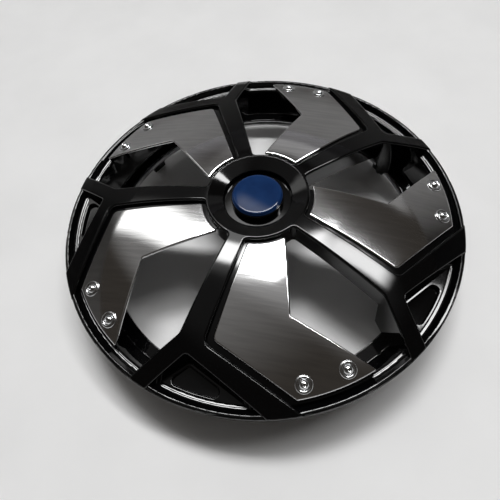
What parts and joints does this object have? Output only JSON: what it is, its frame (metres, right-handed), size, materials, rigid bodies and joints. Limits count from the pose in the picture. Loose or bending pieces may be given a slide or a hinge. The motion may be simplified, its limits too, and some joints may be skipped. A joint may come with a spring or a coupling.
{
  "type": "wheel trim",
  "caption": "Round press-on car wheel trim: gloss black moulded cover with forked spokes, bright metal insert plates beside them, a domed hub badge and a spring wire ring on clip legs.",
  "frame": {"origin": "on the hub axis, in the plane of the clip legs' ends, which the trim stands on", "axes": "+Z along the hub axis, out of the face; +Y along the first spoke; the other spokes follow counter-clockwise seen from the face"},
  "size_m": [0.38, 0.38, 0.0774],
  "materials": {
    "gloss_black": "gloss",
    "polished_metal": "mirror polished",
    "plated_steel": "bright plated",
    "blue_resin": "gloss",
    "spring_steel": "drawn wire"
  },
  "bodies": {
    "root": {"cover": "gloss_black", "insert_1": "polished_metal", "insert_2": "polished_metal", "insert_3": "polished_metal", "insert_4": "polished_metal", "insert_5": "polished_metal", "finishing_washers": "plated_steel", "insert_screws": "plated_steel", "centre_badge": "blue_resin", "spring_wire": "spring_steel"}
  },
  "joints": []
}
